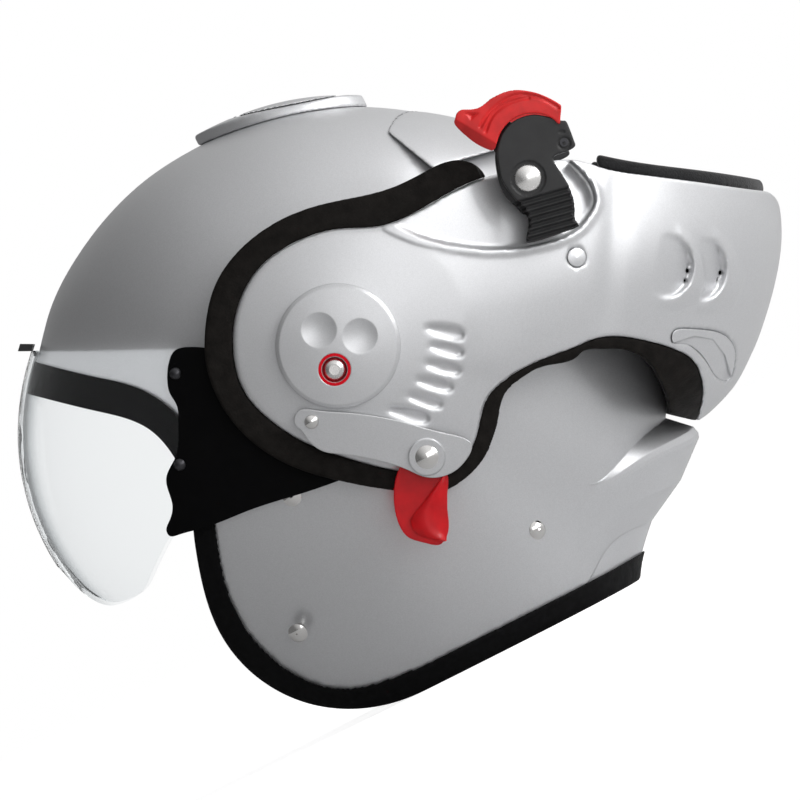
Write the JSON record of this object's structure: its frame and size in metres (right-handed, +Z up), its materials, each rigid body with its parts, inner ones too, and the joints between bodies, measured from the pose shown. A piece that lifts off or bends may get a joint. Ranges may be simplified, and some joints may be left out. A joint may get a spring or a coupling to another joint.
{
  "type": "modular motorcycle helmet",
  "caption": "Open-face helmet with a chin bar that turns back over the crown, a clear visor, side latches and a sliding crown vent",
  "frame": {"origin": "centre of the overall box at the rim the helmet rests on, chin bar turned back", "axes": "+Z up, the helmet faces -X, the wearer's left side is -Y"},
  "size_m": [0.3636, 0.2566, 0.2681],
  "materials": {
    "silver_paint": "satin silver metallic paint on moulded fibre composite",
    "black_rubber": "satin",
    "gasket_rubber": "fine grained",
    "black_foam": "moulded foam",
    "black_fabric": "woven",
    "black_webbing": "woven webbing",
    "black_plastic": "fine moulded grain",
    "red_plastic": "satin",
    "red_film": "translucent",
    "red_anodised": "red anodised",
    "polished_steel": "polished",
    "brushed_steel": "brushed",
    "dark_steel": "blackened",
    "clear_lens": "clear polished"
  },
  "bodies": {
    "helmet": {"shell": "silver_paint", "brow_trim": "black_rubber", "rim_trim": "black_rubber", "eps_liner": "black_foam", "crown_lining": "black_fabric", "cheek_pad_left": "black_fabric", "cheek_pad_right": "black_fabric", "neck_roll": "black_fabric", "crown_vent_base": "silver_paint", "crown_outlet": "silver_paint", "strap_rivets": "polished_steel", "latch_studs": "polished_steel", "chin_strap_left": "black_webbing", "chin_strap_right": "black_webbing", "strap_rings": "brushed_steel", "hinge_hub_left": "black_plastic", "hinge_hub_right": "black_plastic"},
    "crown_slider": {"crown_vent_slider": "silver_paint"},
    "visor": {"visor_lens": "clear_lens", "visor_tab": "clear_lens", "visor_bracket_left": "black_plastic", "visor_bracket_right": "black_plastic", "visor_rivets": "dark_steel"},
    "chin": {"chin_bar": "silver_paint", "side_plug_left": "silver_paint", "side_plug_right": "silver_paint", "chin_bar_liner": "black_foam", "visor_gasket": "gasket_rubber", "chin_curtain": "black_fabric", "chin_vent_hoods_left": "silver_paint", "chin_vent_hoods_right": "silver_paint", "chin_vent_mesh_left": "black_plastic", "chin_vent_mesh_right": "black_plastic", "winglet_left": "silver_paint", "winglet_right": "silver_paint", "hinge_cover_left": "silver_paint", "hinge_cover_right": "silver_paint", "cover_screw_ring_left": "red_anodised", "cover_screw_ring_right": "red_anodised", "cover_screw_left": "brushed_steel", "cover_screw_right": "brushed_steel", "lever_rivet_left": "polished_steel", "lever_rivet_right": "polished_steel", "latch_dome_left": "polished_steel", "latch_dome_right": "polished_steel"},
    "lever_left": {"side_lever_left": "silver_paint", "lever_stud_left": "polished_steel", "pull_ribbon_left": "red_film"},
    "latch_left": {"latch_left": "black_plastic", "latch_claw_left": "dark_steel", "release_pin_left": "dark_steel"},
    "release_left": {"release_lever_left": "red_plastic"},
    "lever_right": {"side_lever_right": "silver_paint", "lever_stud_right": "polished_steel", "pull_ribbon_right": "red_film"},
    "latch_right": {"latch_right": "black_plastic", "latch_claw_right": "dark_steel", "release_pin_right": "dark_steel"},
    "release_right": {"release_lever_right": "red_plastic"}
  },
  "joints": [
    {"name": "crown_vent_slide", "type": "slide", "parent": "helmet", "child": "crown_slider", "axis": [0.9659, 0, -0.2588], "range_m": [0, 0.008]},
    {"name": "visor_tilt", "type": "hinge", "parent": "helmet", "child": "visor", "pos_m": [-0.0234, 0, 0.154], "axis": [0, 1, 0], "range_deg": [0, 60]},
    {"name": "chin_bar_flip", "type": "hinge", "parent": "helmet", "child": "chin", "pos_m": [-0.0234, 0, 0.154], "axis": [0, -1, 0], "range_deg": [0, 222], "deforming": ["visor_gasket"]},
    {"name": "side_lever_turn_left", "type": "hinge", "parent": "chin", "child": "lever_left", "pos_m": [-0.049, -0.118, 0.1292], "axis": [0, 1, 0], "range_deg": [0, 25]},
    {"name": "latch_turn_left", "type": "hinge", "parent": "chin", "child": "latch_left", "pos_m": [0.0849, -0.118, 0.1825], "axis": [0, -1, 0], "range_deg": [0, 45]},
    {"name": "release_turn_left", "type": "hinge", "parent": "latch_left", "child": "release_left", "pos_m": [0.1062, -0.118, 0.1895], "axis": [0, 1, 0], "range_deg": [0, 18], "stiffness_Nm_per_rad": 0.015},
    {"name": "side_lever_turn_right", "type": "hinge", "parent": "chin", "child": "lever_right", "pos_m": [-0.049, 0.118, 0.1292], "axis": [0, 1, 0], "range_deg": [0, 25]},
    {"name": "latch_turn_right", "type": "hinge", "parent": "chin", "child": "latch_right", "pos_m": [0.0849, 0.118, 0.1825], "axis": [0, -1, 0], "range_deg": [0, 45]},
    {"name": "release_turn_right", "type": "hinge", "parent": "latch_right", "child": "release_right", "pos_m": [0.1062, 0.118, 0.1895], "axis": [0, 1, 0], "range_deg": [0, 18], "stiffness_Nm_per_rad": 0.015}
  ]
}
